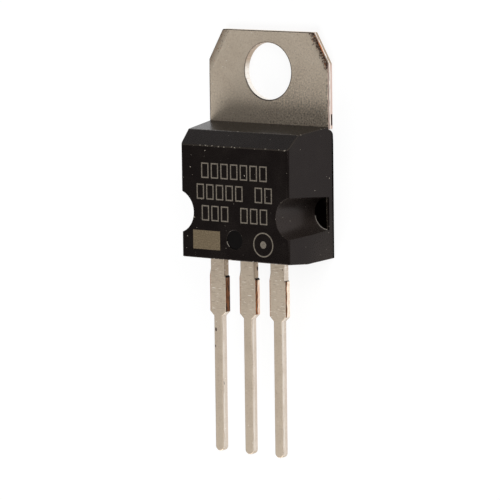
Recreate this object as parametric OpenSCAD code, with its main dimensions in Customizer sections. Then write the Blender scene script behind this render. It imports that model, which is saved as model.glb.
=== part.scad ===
// Three-lead voltage regulator in a single-gauge through-hole power package.
// It lies on its back. The origin is the centre of the mounting hole on the back face of the tab:
// X runs across the width, Y runs from the leads towards the tab, and Z points out of the front.

/* [Copper strip] */
// Thickness of the strip that the tab and all the leads are stamped from
strip_t = 0.52; // [0.45:0.01:0.6]
// Height of the leads' back side above the mounting face
lead_rise = 2.62; // [2.4:0.02:2.8]

/* [Tab] */
// Width of the tab
tab_w = 10.06; // [9.8:0.02:10.1]
// Distance from the top edge of the tab to the centre of the hole
hole_to_top = 2.76; // [2.65:0.01:3]
// Diameter of the mounting hole
hole_d = 3.9; // [3.5:0.05:4.1]
// Length of tab that stands out of the moulded body
tab_out = 6.34; // [6.2:0.02:6.8]
// Width of the corner cuts, across the tab
corner_w = 1.2; // [0.5:0.05:1.6]
// Height of the corner cuts, along the tab
corner_h = 2.1; // [0.8:0.05:2.6]

/* [Moulded body] */
// How far the moulding stands out past each side of the tab
side_cover = 0.06; // [0.03:0.01:0.2]
// How much each side leans in, from the back to the front face
side_inset = 0.57; // [0.4:0.01:0.8]
// Length of the body, from the tab side to the parting line at the leads
body_l = 9.07; // [8.9:0.01:9.6]
// Thickness of the package, from the mounting face to the front face
body_t = 4.5; // [4.4:0.01:4.7]
// How far the moulding stays behind the mounting face
back_gap = 0.03; // [0.02:0.01:0.06]
// How much the lead end leans in, from the parting line to the front face
front_inset = 0.13; // [0.05:0.01:0.25]
// How much the lead end leans in, from the parting line to the back
back_inset = 0.16; // [0.05:0.01:0.25]
// How much the tab end leans in, from the tab to the bevel
top_inset = 0.31; // [0.15:0.01:0.45]
// Height of the bevel along the top front edge
bevel_h = 0.96; // [0.6:0.02:1.2]
// Depth of the bevel along the top front edge
bevel_d = 1.08; // [0.7:0.02:1.3]
// Radius of the two long front edges
front_edge_r = 0.2; // [0.1:0.02:0.3]
// Radius of the body's corner beside the tab
flank_r = 0.46; // [0.3:0.02:0.48]

/* [Side notches] */
// Distance from the tab end of the body to the middle of the notches
notch_down = 5.88; // [5.4:0.02:6.2]
// Distance from the body's widest edge in to the centre of each notch's curve
notch_in = 0.14; // [0:0.01:0.3]
// Radius of the notch at the front face
notch_front_r = 1.48; // [1.2:0.02:1.6]
// Radius of the notch at its floor
notch_floor_r = 1.13; // [0.9:0.01:1.18]

/* [Ejector mark] */
// Diameter of the round ejector mark
ejector_d = 1.34; // [1:0.02:1.6]
// Depth of the ejector mark
ejector_depth = 0.06; // [0.03:0.01:0.1]
// Distance of the mark's centre from the front face's lead end
ejector_up = 1.36; // [0.9:0.02:2]

/* [Leads] */
// Distance between the centres of neighbouring leads
pitch = 2.54; // [2.5:0.01:2.6]
// Length of the leads, from the parting line to the tips
lead_l = 13.43; // [12:0.01:14]
// Width of a lead where it leaves the body
neck_w = 1.17; // [1.05:0.01:1.25]
// Width of a lead at the cut tie-bar stubs
stub_w = 1.37; // [1.3:0.01:1.6]
// Width of the thin part of a lead
lead_w = 0.7; // [0.55:0.01:0.9]
// Distance from the parting line to the start of the stubs
stub_start = 1.28; // [1:0.02:1.6]
// Distance from the parting line to the end of the stubs
stub_end = 3.74; // [3.4:0.02:4]
// Length of the shoulder that narrows the stub to the thin part
shoulder_l = 0.32; // [0.2:0.02:0.6]
// Corner cut at the tips
tip_cut = 0.12; // [0.05:0.01:0.2]

/* [Heat sink inside the body] */
// How much narrower the pad is than the tab, on each side
pad_inset = 0.18; // [0.12:0.01:0.3]
// Distance from the end of the pad to the parting line
pad_clear = 1.55; // [1.4:0.05:1.7]
// Length of the full-width tab that reaches under the body
tab_under = 0.17; // [0.1:0.01:0.25]
// Width of the coined step around the back of the pad, which locks it in the moulding
lock_w = 0.25; // [0.15:0.05:0.4]
// Thickness of the metal left over the coined step
lock_t = 0.28; // [0.2:0.02:0.36]
// Flat length of the strap between the pad and its first bend
strap_flat = 0.25; // [0.2:0.05:0.4]
// Length along the body that the bent strap takes to rise to the leads
strap_run = 0.8; // [0.6:0.05:0.9]

/* [Bond posts] */
// Width of a bond post
post_w = 2.1; // [1.9:0.05:2.3]
// Length of a bond post
post_l = 1.4; // [1.1:0.05:1.5]
// Distance of a post's outer edge beyond its lead's centre
post_out = 1; // [0.8:0.05:1.1]
// Length of neck between the post and the parting line
post_in = 0.7; // [0.6:0.05:0.9]

/* [Chip] */
// Width of the chip
die_w = 2.4; // [1.8:0.1:3]
// Length of the chip
die_l = 2.1; // [1.6:0.1:2.6]
// Thickness of the chip
die_t = 0.28; // [0.2:0.02:0.36]
// Distance from the end of the pad to the middle of the chip
die_up = 2.9; // [2.4:0.1:3.6]
// Thickness of the solder under the chip
solder_t = 0.05; // [0.03:0.01:0.1]
// How far the solder spreads past the chip
solder_rim = 0.12; // [0.05:0.01:0.2]

/* [Bond wires] */
// Diameter of the aluminium wires
wire_d = 0.25; // [0.2:0.01:0.38]
// Distance of each wire's foot from the centre of the chip, across
wire_foot_x = 0.6; // [0.4:0.05:0.7]
// Distance of each wire's foot from the centre of the chip, towards the leads
wire_foot_y = 0.45; // [0.2:0.05:0.6]
// Length of a wire's flattened foot
foot_l = 0.5; // [0.35:0.05:0.6]
// Thickness of a wire's flattened foot
foot_t = 0.14; // [0.1:0.01:0.18]

/* [Hidden] */
$fn = 48;
// A cut reaches this far past the face that it opens
past = strip_t;

// Widths
body_back_w = tab_w + 2 * side_cover;
body_front_w = body_back_w - 2 * side_inset;
pad_w = tab_w - 2 * pad_inset;
notch_out = body_back_w / 2 - notch_in;

// Places along Y
tab_top = hole_to_top;
body_top = tab_top - tab_out;
parting_y = body_top - body_l;
face_end = parting_y + front_inset;
face_top = body_top - top_inset - bevel_h;
notch_y = body_top - notch_down;
pad_top = body_top - tab_under;
pad_end = parting_y + pad_clear;
die_y = pad_end + die_up;
post_top = parting_y + post_in + post_l;

// Heights
lead_front = lead_rise + strip_t;
bevel_z = body_t - bevel_d;
die_z = strip_t + solder_t;
die_front = die_z + die_t;

// The strap's bend, and how far its front side runs ahead of its back side
strap_angle = atan2(lead_rise, strap_run);
strap_ahead = strip_t * tan(strap_angle / 2);
bend_1 = pad_end - strap_flat;
bend_2 = bend_1 - strap_run;

// Slope of the body's two long sides, as width lost on one side for each unit of height
side_slope = side_inset / (body_t - back_gap);

// Colours
copper = [0.66, 0.61, 0.55];
epoxy = [0.13, 0.12, 0.11];

// Points of an arc from one angle to another
function arc(centre, r, from, to, steps) =
    [for (i = [0 : steps]) let (a = from + (to - from) * i / steps) centre + r * [cos(a), sin(a)]];

// Stretches a shape drawn in Y and Z along X, with the middle at X = 0
module along_x(length) {
    rotate([90, 0, 90])
        translate([0, 0, -length / 2])
            linear_extrude(length)
                children();
}

// Outline of the tab in X and Y, with its corner cuts
module tab_outline() {
    half = tab_w / 2;
    polygon([
        [-half, pad_top], [half, pad_top],
        [half, tab_top - corner_h], [half - corner_w, tab_top],
        [-half + corner_w, tab_top], [-half, tab_top - corner_h]
    ]);
}

// Outline of one lead outside the body, and of its neck up to a given Y inside it
module lead_outline(neck_top) {
    start = parting_y - stub_start;
    end = parting_y - stub_end;
    tip = parting_y - lead_l;
    half = [
        [neck_w / 2, neck_top], [neck_w / 2, start + (stub_w - neck_w) / 2],
        [stub_w / 2, start], [stub_w / 2, end],
        [lead_w / 2, end - shoulder_l], [lead_w / 2, tip + tip_cut],
        [lead_w / 2 - tip_cut, tip]
    ];
    last = len(half) - 1;
    polygon(concat(half, [for (i = [last : -1 : 0]) [-half[i].x, half[i].y]]));
}

// The pad inside the body: full width in front, and stepped in behind to lock it
module pad() {
    pad_l = pad_top - pad_end;
    translate([-pad_w / 2, pad_end, strip_t - lock_t])
        cube([pad_w, pad_l, lock_t]);
    translate([-pad_w / 2 + lock_w, pad_end + lock_w, 0])
        cube([pad_w - 2 * lock_w, pad_l - lock_w, strip_t]);
}

// The strap that rises from the pad to the middle lead, of one thickness through both bends
module strap() {
    along_x(neck_w)
        polygon([
            [pad_end + lock_w, 0], [bend_1, 0], [bend_2, lead_rise], [parting_y, lead_rise],
            [parting_y, lead_front], [bend_2 + strap_ahead, lead_front],
            [bend_1 + strap_ahead, strip_t], [pad_end + lock_w, strip_t]
        ]);
}

// Mounting tab, pad, strap and middle lead, stamped and bent as one piece
module heat_sink_and_centre_lead() {
    color(copper) {
        difference() {
            union() {
                linear_extrude(strip_t)
                    tab_outline();
                pad();
                strap();
            }
            translate([0, 0, -past])
                cylinder(h = strip_t + 2 * past, d = hole_d);
        }
        translate([0, 0, lead_rise])
            linear_extrude(strip_t)
                lead_outline(parting_y);
    }
}

// One outer lead with its bond post; side is -1 on the left and 1 on the right
module outer_lead(side) {
    color(copper)
        translate([side * pitch, 0, lead_rise])
            union() {
                linear_extrude(strip_t)
                    lead_outline(post_top - post_l / 2);
                translate([side > 0 ? post_out - post_w : -post_out, post_top - post_l, 0])
                    cube([post_w, post_l, strip_t]);
            }
}

// Left outer lead
module left_lead() {
    outer_lead(-1);
}

// Right outer lead
module right_lead() {
    outer_lead(1);
}

// Silicon chip
module die() {
    color([0.35, 0.36, 0.4])
        translate([-die_w / 2, die_y - die_l / 2, die_z])
            cube([die_w, die_l, die_t]);
}

// Solder between the chip and the pad
module die_solder() {
    color([0.7, 0.7, 0.68])
        translate([-die_w / 2 - solder_rim, die_y - die_l / 2 - solder_rim, strip_t])
            cube([die_w + 2 * solder_rim, die_l + 2 * solder_rim, solder_t]);
}

// One bond wire: it rises straight from its foot on the chip and comes down onto the bond post
module bond_wire(side) {
    start = [side * wire_foot_x, die_y - wire_foot_y];
    end = [side * (pitch + post_out - post_w / 2), post_top - post_l / 2];
    run = norm(end - start);
    rise = lead_front - die_front;
    r = (run * run + rise * rise) / (2 * run);
    sweep = 180 - atan2(rise, run - r);
    heading = atan2(end.y - start.y, end.x - start.x);
    color([0.8, 0.8, 0.8])
        translate([start.x, start.y, die_front])
            rotate([0, 0, heading])
                difference() {
                    union() {
                        rotate([90, 0, 0])
                            translate([r, 0, 0])
                                rotate([0, 0, 180 - sweep])
                                    rotate_extrude(angle = sweep)
                                        translate([r, 0])
                                            circle(d = wire_d);
                        translate([-foot_l / 2, -wire_d / 2, 0])
                            cube([foot_l, wire_d, foot_t]);
                        translate([run - foot_l / 2, -wire_d / 2, rise])
                            cube([foot_l, wire_d, foot_t]);
                    }
                    // The post stops the round wire where its foot is pressed flat
                    translate([run - foot_l, -wire_d, rise - past])
                        cube([2 * foot_l, 2 * wire_d, past]);
                }
}

// Bond wire to the left lead
module left_bond_wire() {
    bond_wire(-1);
}

// Bond wire to the right lead
module right_bond_wire() {
    bond_wire(1);
}

// Side view of the body in Y and Z
module body_side() {
    flank_top = pad_top - flank_r;
    polygon(concat(
        [
            [parting_y + back_inset, back_gap], [parting_y, lead_rise], [face_end, body_t],
            [face_top, body_t], [body_top - top_inset, bevel_z],
            [body_top, strip_t], [pad_top, strip_t]
        ],
        arc([flank_top, back_gap + flank_r], flank_r, 0, -90, 8)
    ));
}

// End view of the body in X and Z, with rounded long front edges
module body_end() {
    lean = atan(side_slope);
    reach = front_edge_r * tan((90 - lean) / 2);
    centre = [body_front_w / 2 - reach, body_t - front_edge_r];
    right = arc(centre, front_edge_r, lean, 90, 6);
    polygon(concat(
        [[-body_back_w / 2, back_gap], [body_back_w / 2, back_gap]],
        right,
        [for (i = [len(right) - 1 : -1 : 0]) [-right[i].x, right[i].y]]
    ));
}

// The body as one block, before its notches and the room for what it holds
module body_block() {
    intersection() {
        along_x(body_back_w + 2 * past)
            body_side();
        translate([0, body_top + past, 0])
            rotate([90, 0, 0])
                linear_extrude(body_l + 2 * past)
                    body_end();
    }
}

// One side notch, open to the side and the front, narrower at its floor
module notch(side) {
    depth = body_t - strip_t;
    grow = (notch_front_r - notch_floor_r) / depth * past;
    translate([side * notch_out, notch_y, strip_t])
        cylinder(h = depth + past, r1 = notch_floor_r, r2 = notch_front_r + grow);
}

// Black epoxy moulded over the metal and the chip
module moulded_body() {
    color(epoxy)
        difference() {
            body_block();
            notch(-1);
            notch(1);
            translate([0, face_end + ejector_up, body_t - ejector_depth])
                cylinder(h = ejector_depth + past, d = ejector_d);
            heat_sink_and_centre_lead();
            left_lead();
            right_lead();
            die();
            die_solder();
            left_bond_wire();
            right_bond_wire();
        }
}

moulded_body();
heat_sink_and_centre_lead();
left_lead();
right_lead();
die();
die_solder();
left_bond_wire();
right_bond_wire();
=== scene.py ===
import math

import bmesh
import bpy
from bpy.props import FloatProperty, FloatVectorProperty, IntProperty, PointerProperty
from mathutils import Matrix, Vector


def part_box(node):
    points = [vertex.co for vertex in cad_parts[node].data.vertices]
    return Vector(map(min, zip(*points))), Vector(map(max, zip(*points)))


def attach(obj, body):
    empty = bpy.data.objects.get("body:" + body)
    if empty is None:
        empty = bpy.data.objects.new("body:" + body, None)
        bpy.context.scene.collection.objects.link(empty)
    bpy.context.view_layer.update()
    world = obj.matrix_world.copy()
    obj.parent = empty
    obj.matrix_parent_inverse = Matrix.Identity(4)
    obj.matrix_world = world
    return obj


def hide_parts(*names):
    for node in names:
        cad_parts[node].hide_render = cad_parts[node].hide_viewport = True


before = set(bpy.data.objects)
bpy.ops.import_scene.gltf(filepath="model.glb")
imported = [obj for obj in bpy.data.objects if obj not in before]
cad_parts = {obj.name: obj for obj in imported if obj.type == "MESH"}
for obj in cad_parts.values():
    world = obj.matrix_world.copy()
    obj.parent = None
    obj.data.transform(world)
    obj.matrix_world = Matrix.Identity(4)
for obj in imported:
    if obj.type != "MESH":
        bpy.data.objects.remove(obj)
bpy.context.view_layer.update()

bl_info = {
    "name": "Voltage Regulator",
    "version": (1, 0, 0),
    "blender": (4, 5, 0),
    "location": "View3D > Sidebar > Regulator",
    "description": "Builds a three-lead regulator with its stamped strip, moulded body and stage",
    "category": "Add Mesh",
}

# The part lies on its back: X across the width, Y from the leads to the tab, Z out of the front
MM = 0.001
TINY = 1e-7

# Corners of the moulding that lie closer than this are one corner
HAIR = 0.02 * MM

# A face larger than this is a flat, and an edge that turns by less than this is part of a round
FLAT_AREA = 0.8 * MM * MM
ROUND_TURN = math.radians(20)

# Order of the material slots on the stamped pieces
PLATED, CUT, BURNISHED, SMEARED, SCUFFED, NOTCH_FLOOR_SHADE, PRESSED, SHADED_TIN, SHADE_AND_TEAR, BORE = range(10)

# Order of the material slots on the body, after the plain epoxy
WORN_AND_LIT_EDGE, PIN_FACE, BACK_SHADE, RIM_HIGHLIGHT, NOTCH_WALL = range(1, 6)

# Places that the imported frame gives
BODY_LOW, BODY_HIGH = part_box("moulded_body")
STRIP_LOW, STRIP_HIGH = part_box("heat_sink_and_centre_lead")


def linear(hex_colour):
    """Turns an sRGB hex colour into linear red, green and blue"""
    shares = [int(hex_colour[i:i + 2], 16) / 255 for i in (1, 3, 5)]
    return tuple(s / 12.92 if s <= 0.04045 else ((s + 0.055) / 1.055) ** 2.4 for s in shares)


def length(name, mm, description):
    """A length property, given in millimetres"""
    return FloatProperty(name=name, description=description, default=mm * MM, unit="LENGTH",
                         precision=5)


def colour(name, hex_colour, description):
    """A colour property, given as sRGB hex"""
    return FloatVectorProperty(name=name, description=description, default=linear(hex_colour),
                               subtype="COLOR", size=3, min=0, max=1)


def angle(name, degrees, description):
    """An angle property, given in degrees"""
    return FloatProperty(name=name, description=description, default=math.radians(degrees),
                         subtype="ANGLE")


class StripSizes(bpy.types.PropertyGroup):
    """Sizes of the stamped strip: tab, pad and strap"""
    thickness: length("Thickness", 0.52, "Thickness of the copper strip")
    hole: length("Hole", 3.9, "Diameter of the mounting hole")
    corner_width: length("Corner Width", 1.2, "Width of the tab's corner cuts")
    corner_height: length("Corner Height", 2.1, "Height of the tab's corner cuts")
    trim_band: length("Trim Band", 0.5, "Width of the scuffed band beside each corner cut")
    rollover: length("Rollover", 0.02, "Depth of the rolled edge beside each corner cut")
    edge: length("Edge", 0.045, "Rounding of the stamped edges")
    nick_up: length("Nick Up", 0.08, "Distance of the torn nick from the body")
    nick_length: length("Nick Length", 0.76, "Length of the torn nick")
    nick_height: length("Nick Height", 0.2, "Height of the torn nick")
    nick_depth: length("Nick Depth", 0.02, "Depth of the torn nick")
    tab_under: length("Tab Under", 0.17, "Length of full-width tab under the body")
    pad_inset: length("Pad Inset", 0.18, "How much narrower the pad is than the tab on each side")
    pad_clear: length("Pad Clear", 1.55, "Distance from the end of the pad to the parting line")
    lock_width: length("Lock Width", 0.25, "Width of the coined step behind the pad")
    lock_thickness: length("Lock Thickness", 0.28, "Metal left over the coined step")
    strap_flat: length("Strap Flat", 0.25, "Flat strap between the pad and its first bend")
    strap_run: length("Strap Run", 0.8, "Length that the strap takes to rise to the leads")


class LeadSizes(bpy.types.PropertyGroup):
    """Sizes of the three leads"""
    pitch: length("Pitch", 2.54, "Distance between neighbouring leads")
    neck: length("Neck", 1.17, "Width where a lead leaves the body")
    stub: length("Stub", 1.37, "Width at the cut tie-bar stubs")
    thin: length("Thin Part", 0.7, "Width of the thin part")
    stub_start: length("Stub Start", 1.28, "Distance from the parting line to the stubs")
    stub_end: length("Stub End", 3.74, "Distance from the parting line to the stubs' end")
    shoulder: length("Shoulder", 0.32, "Length of the shoulder below a stub")
    tip_cut: length("Tip Cut", 0.2, "Corner cut at the tips")
    ramp: length("Ramp", 0.5, "Length of the ramp on the left of each stub")
    tip_round: length("Tip Round", 0.11, "Rounding of the tips")
    # Painted shade: how far the top of the stub's right side is darkened below the sharp step
    step_shade: length("Tear", 0.1, "Height of the torn spot below the sharp step")
    step: length("Step", 0.02, "Height of the sharp step on the right of each stub")
    post_width: length("Post Width", 2.1, "Width of a bond post")
    post_length: length("Post Length", 1.4, "Length of a bond post")
    post_out: length("Post Out", 1.0, "Outer edge of a post beyond its lead's middle")
    post_in: length("Post In", 0.7, "Neck between the post and the parting line")


class BodySizes(bpy.types.PropertyGroup):
    """Sizes of the moulded body"""
    side_inset: length("Side Inset", 0.57, "How much each side leans in, from back to front")
    lead_end: length("Lead End", 0.05, "How far the parting line stands out at the lead end")
    front_inset: length("Front Inset", 0.14, "Lean of the lead end, from parting line to front")
    back_inset: length("Back Inset", 0.16, "Lean of the lead end, from parting line to back")
    top_inset: length("Top Inset", 0.31, "Lean of the tab end, from the tab to the bevel")
    bevel_height: length("Bevel Height", 0.96, "Height of the bevel along the top front edge")
    bevel_depth: length("Bevel Depth", 1.08, "Depth of the bevel along the top front edge")
    long_edge: length("Long Edge", 0.2, "Radius of the two long front edges")
    flank: length("Flank", 0.46, "Radius of the corner beside the tab")
    edge: length("Edge", 0.05, "Rounding of the other edges")
    rim: length("Rim", 0.03, "Rounding of the back edges and of the rims of the cuts")
    # The dark line along the back edges is painted shade
    back_shade_height: length("Flash", 0.19, "Height of the dark line along the back edges")
    notch_down: length("Notch Down", 5.88, "Tab end of the body to the middle of the notches")
    notch_in: length("Notch In", 0.14, "Widest edge to the centre of each notch's curve")
    notch_front: length("Notch Front", 1.48, "Radius of the notch at the front face")
    notch_floor: length("Notch Floor", 1.13, "Radius of the notch at its floor")
    floor_drop: length("Floor Drop", 0.02, "How far the moulding lies under the metal notch floor")
    ejector: length("Ejector Mark", 1.34, "Diameter of the round ejector mark")
    ejector_depth: length("Ejector Depth", 0.06, "Depth of the ejector mark")
    ejector_up: length("Ejector Up", 1.4, "Mark's centre from the front face's lead end")
    # A stretch of the ejector mark's rim is painted pale: a painted highlight
    highlight_start: angle("Chip Start", -168, "Where the chipped stretch of the mark's rim starts")
    highlight_end: angle("Chip End", -134, "Where the chipped stretch of the mark's rim ends")


class MarkSizes(bpy.types.PropertyGroup):
    """Sizes of the plain laser marks on the front face"""
    stroke: length("Stroke", 0.085, "Width of the laser's line")
    relief: length("Relief", 0.004, "Height of the marks above the face")
    cell_width: length("Cell Width", 0.62, "Width of one cell")
    cell_height: length("Cell Height", 1.05, "Height of one cell")
    cell_pitch: length("Cell Pitch", 0.82, "Distance from one cell to the next")
    first_row: length("First Row", -6.54, "Middle of the first row along Y")
    row_pitch: length("Row Pitch", 1.455, "Distance from one row to the next")
    field_x: length("Field X", -2.39, "Middle of the filled field across")
    field_y: length("Field Y", -11.3, "Middle of the filled field along Y")
    field_width: length("Field Width", 2.3, "Width of the filled field")
    field_height: length("Field Height", 1.3, "Height of the filled field")
    ring_x: length("Ring X", 2.41, "Middle of the ring across")
    ring_y: length("Ring Y", -11.33, "Middle of the ring along Y")
    ring: length("Ring", 1.68, "Outer diameter of the ring")
    dot: length("Dot", 0.5, "Diameter of the dot in the ring")


class Finishes(bpy.types.PropertyGroup):
    """Colours of the finishes"""
    tin: colour("Tin", "#e2d4c1", "Matt tin plating")
    tin_burnished: colour("Burnished Tin", "#e5d9cc", "Tin that the punch rubbed smooth")
    tin_bright: colour("Bright Tin", "#fffaf2", "Bright specks of the plating")
    tin_dull: colour("Dull Tin", "#b39f8a", "Duller patches of the plating")
    copper: colour("Copper", "#ecc9b0", "Bare copper where the tie bar was cut")
    copper_pale: colour("Pale Copper", "#fff0dc", "Copper with tin smeared over it")
    copper_dark: colour("Dark Copper", "#452e1f", "Tarnish on the cut copper")
    cut_edge: colour("Cut Edge", "#dcc3b8", "Tin smeared over the tab's cut edges")
    cut_copper: colour("Cut Copper", "#c47a48", "Copper that shows along the cut edges")
    # Dark plating: real scuffs beside the cut corners, and the colour of the painted shade on edges and
    # step faces
    scuff_and_shade: colour("Scuff", "#4d3a33", "Dark scuffed plating beside the cut corners")
    # Near-black metal on the notch floors: painted shade
    notch_floor_shade: colour("Resin Film", "#2b2520", "Metal under a film of cured resin")
    epoxy: colour("Epoxy", "#100c0b", "Black epoxy moulding")
    # Paler epoxy on the notch walls: painted light, lifting walls that the lamps leave dark
    epoxy_notch_lit: colour("Rough Epoxy", "#2a2421", "Notch walls that a rougher pin moulded")
    # Paler epoxy: a cloudy tone, painted light at the back of the lead end, and the rounded edges'
    # colour, partly a painted highlight
    epoxy_pale: colour("Worn Epoxy", "#38332e", "Worn edges of the moulding")
    # Pale specks of dust, and the colour of the painted highlight on the ejector mark's rim
    speck_and_highlight: colour("Speck", "#b0a79b", "Dust and chips on the moulding")
    mark: colour("Mark", "#857c70", "Epoxy whitened by the laser")
    field: colour("Field", "#7d6e57", "Filled field burnt by the laser")
    silicon: colour("Silicon", "#6a6c74", "Sawn silicon")
    solder: colour("Solder", "#c4c4be", "Soft solder")
    aluminium: colour("Aluminium", "#d9d9d9", "Drawn aluminium wire")


class StageSettings(bpy.types.PropertyGroup):
    """Camera, lamps and floor"""
    yaw: angle("Yaw", 36.985, "Camera's turn from straight in front towards +X")
    rise: angle("Rise", 7.399, "Camera's rise towards the tab")
    roll: angle("Roll", 0.7286, "Camera's lean to its right")
    distance: length("Distance", 251, "Distance of the camera from its aim")
    aim_x: length("Aim X", -0.51, "Camera's aim across")
    aim_y: length("Aim Y", -12.13, "Camera's aim along the part")
    aim_z: length("Aim Z", 2.11, "Height of the camera's aim")
    lens: FloatProperty(name="Lens", description="Focal length on a 36 mm sensor", default=264.84,
                        unit="CAMERA")
    surround: FloatProperty(name="Surround", description="Strength of the even studio light",
                            default=0.142)
    key: FloatProperty(name="Key", description="Power of the main soft lamp", default=3.4)
    key_way: FloatVectorProperty(name="Key Direction", description="Where the main lamp stands",
                                 default=(-0.2, -0.7, 0.6), subtype="DIRECTION")
    fill: FloatProperty(name="Fill", description="Power of the second soft lamp", default=2.4)
    fill_way: FloatVectorProperty(name="Fill Direction", description="Where the second lamp stands",
                                  default=(0.75, 0.65, 0.5), subtype="DIRECTION")
    lamp_width: FloatProperty(name="Lamp Width", description="Width of the soft lamps",
                              default=0.5, unit="LENGTH")
    lamp_distance: FloatProperty(name="Lamp Distance", description="Distance of the lamps",
                                 default=0.6, unit="LENGTH")
    floor_glow: FloatProperty(name="Floor Glow", description="What lifts the seen floor to white",
                              default=0.87)
    floor: colour("Floor", "#747474", "Floor")
    floor_size: FloatProperty(name="Floor Size", description="Width of the floor", default=4.0,
                              unit="LENGTH")
    samples: IntProperty(name="Arc Steps", description="Steps in a half turn of a round edge",
                         default=32, min=8)


def bounded(low, value, high):
    """Whether a value lies between two others, with a hair's room"""
    return low - TINY <= value <= high + TINY


def polygon(bm, points, z):
    """A flat face through points of X and Y, at height z"""
    face = bm.faces.new([bm.verts.new((x, y, z)) for x, y in points])
    face.normal_update()
    return face


def rectangle(bm, x, y, width, height, z):
    """A flat rectangle round a middle"""
    w, h = width / 2, height / 2
    return polygon(bm, [(x - w, y - h), (x + w, y - h), (x + w, y + h), (x - w, y + h)], z)


def extrude(bm, faces, move, keep=False):
    """Extrudes faces by a vector, and returns the moved ones"""
    made = bmesh.ops.extrude_face_region(bm, geom=faces, use_keep_orig=True)["geom"]
    bmesh.ops.translate(bm, vec=move, verts=[g for g in made if isinstance(g, bmesh.types.BMVert)])
    if not keep:
        bmesh.ops.delete(bm, geom=faces, context="FACES")
    return [g for g in made if isinstance(g, bmesh.types.BMFace)]


def cut(bm, faces, point, normal):
    """Cuts faces along a plane"""
    geom = set(faces)
    for face in faces:
        geom.update(face.edges)
        geom.update(face.verts)
    bmesh.ops.bisect_plane(bm, geom=list(geom), dist=TINY, plane_co=point, plane_no=normal)


def round_edges(bm, edges, radius, segments, material=-1):
    """Rounds edges and returns the new faces"""
    return bmesh.ops.bevel(bm, geom=edges, offset=radius, offset_type="OFFSET", affect="EDGES",
                           segments=segments, profile=0.5, material=material,
                           clamp_overlap=True)["faces"]


def sharp_edges(bm, degrees=28):
    """The edges at which the surface turns by more than some degrees"""
    return [e for e in bm.edges if e.is_manifold and e.calc_face_angle() > math.radians(degrees)]


def paint_edge_shade(bm, faces):
    """Gives the rounded front edges that face the left or the tab end a dark finish: painted shade on
    the roundings that turn away from the light, dull tin on the leads and near-black metal on the tab"""
    bm.normal_update()
    for face in faces:
        outward = min(face.normal.x, -face.normal.y) < -0.3
        if outward and face.normal.z > 0.3:
            on_tab = face.calc_center_median().y > BODY_HIGH.y
            face.material_index = SHADE_AND_TEAR if on_tab else SHADED_TIN


def faces_on(bm, axis, level):
    """The faces that lie wholly at one level of an axis"""
    return [f for f in bm.faces if all(abs(getattr(v.co, axis) - level) < TINY for v in f.verts)]


def finish_mesh(bm, name, materials, slot=None, replaced=()):
    """Turns a bmesh into an object with smooth rounds and crisp flats, which is a piece of the part
    where a slot is given"""
    bmesh.ops.recalc_face_normals(bm, faces=bm.faces)
    for face in bm.faces:
        face.smooth = face.calc_area() < FLAT_AREA
    for edge in bm.edges:
        edge.smooth = edge.is_manifold and edge.calc_face_angle() < ROUND_TURN
    mesh = bpy.data.meshes.new(name)
    bm.to_mesh(mesh)
    bm.free()
    for material in materials:
        mesh.materials.append(material)
    piece = bpy.data.objects.new(name, mesh)
    bpy.context.scene.collection.objects.link(piece)
    if slot:
        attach(piece, "root")
    if replaced:
        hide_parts(*replaced)
    return piece


def node(tree, kind, inputs=None, **settings):
    """Adds a shader node with its settings, its values and its links, where a node that is given as a
    value stands for its first output in use"""
    made = tree.nodes.new(kind)
    for name, value in settings.items():
        setattr(made, name, value)
    for name, value in (inputs or {}).items():
        socket = made.inputs[name]
        if isinstance(value, bpy.types.Node):
            value = next(out for out in value.outputs if out.enabled)
        if isinstance(value, bpy.types.NodeSocket):
            tree.links.new(value, socket)
        elif socket.type == "RGBA":
            socket.default_value = (*value, 1.0)
        else:
            socket.default_value = value
    return made


def start_material(name):
    """An empty material, its tree, and Object coordinates in metres with their parts"""
    material = bpy.data.materials.get(name) or bpy.data.materials.new(name)
    material.use_nodes = True
    tree = material.node_tree
    tree.nodes.clear()
    place = node(tree, "ShaderNodeTexCoord").outputs["Object"]
    return material, tree, place, node(tree, "ShaderNodeSeparateXYZ", {"Vector": place}).outputs


def finish_material(material, tree, values, relief=None, strength=0.0, depth_mm=0.0):
    """Closes a material with its shader's values and, where a relief is given, its bump"""
    if relief is not None:
        values["Normal"] = node(tree, "ShaderNodeBump", {
            "Height": relief, "Strength": strength, "Distance": depth_mm * MM})
    shader = node(tree, "ShaderNodeBsdfPrincipled", values)
    node(tree, "ShaderNodeOutputMaterial", {"Surface": shader})
    return material


def grain(tree, place, size_mm, stretch=(1, 1, 1), detail=2.0, rough=0.5):
    """Noise whose spots are about size_mm across, longer along the axes that stretch names"""
    # Crystals, drag lines and mould texture are finer than a pixel, so sizes of 0.06 to 0.15 mm stand
    # for them: about as fine as the render can show
    scale = [1 / (size_mm * MM * s) for s in stretch]
    turned = node(tree, "ShaderNodeMapping", {"Vector": place, "Scale": scale})
    return node(tree, "ShaderNodeTexNoise", {"Vector": turned, "Scale": 1.0, "Detail": detail,
                                             "Roughness": rough})


def mask(tree, *shares):
    """Where a finish shows: the product of shares. A share is a value from 0 to 1, or a value with
    two levels of it and the shares that it runs between from one to the other, 0 and 1 unless given"""
    product = None
    for share in shares:
        if isinstance(share, tuple):
            value, low, high, first, last = (*share, 0.0, 1.0)[:5]
            share = node(tree, "ShaderNodeMapRange", {
                "Value": value, "From Min": low, "From Max": high, "To Min": first, "To Max": last},
                interpolation_type="SMOOTHSTEP")
        if product is not None:
            share = node(tree, "ShaderNodeMath", {0: product, 1: share}, operation="MULTIPLY")
        product = share
    return product


def coats(tree, shade, *layers):
    """Lays colours over a shade, one after the other, each as far as its share says"""
    for share, tone in layers:
        shade = node(tree, "ShaderNodeMix", {0: mask(tree, share), 6: shade, 7: tone},
                     data_type="RGBA")
    return shade


def shaded(tone, share):
    """A colour darkened to a share of itself"""
    return [share * part for part in tone]


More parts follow.
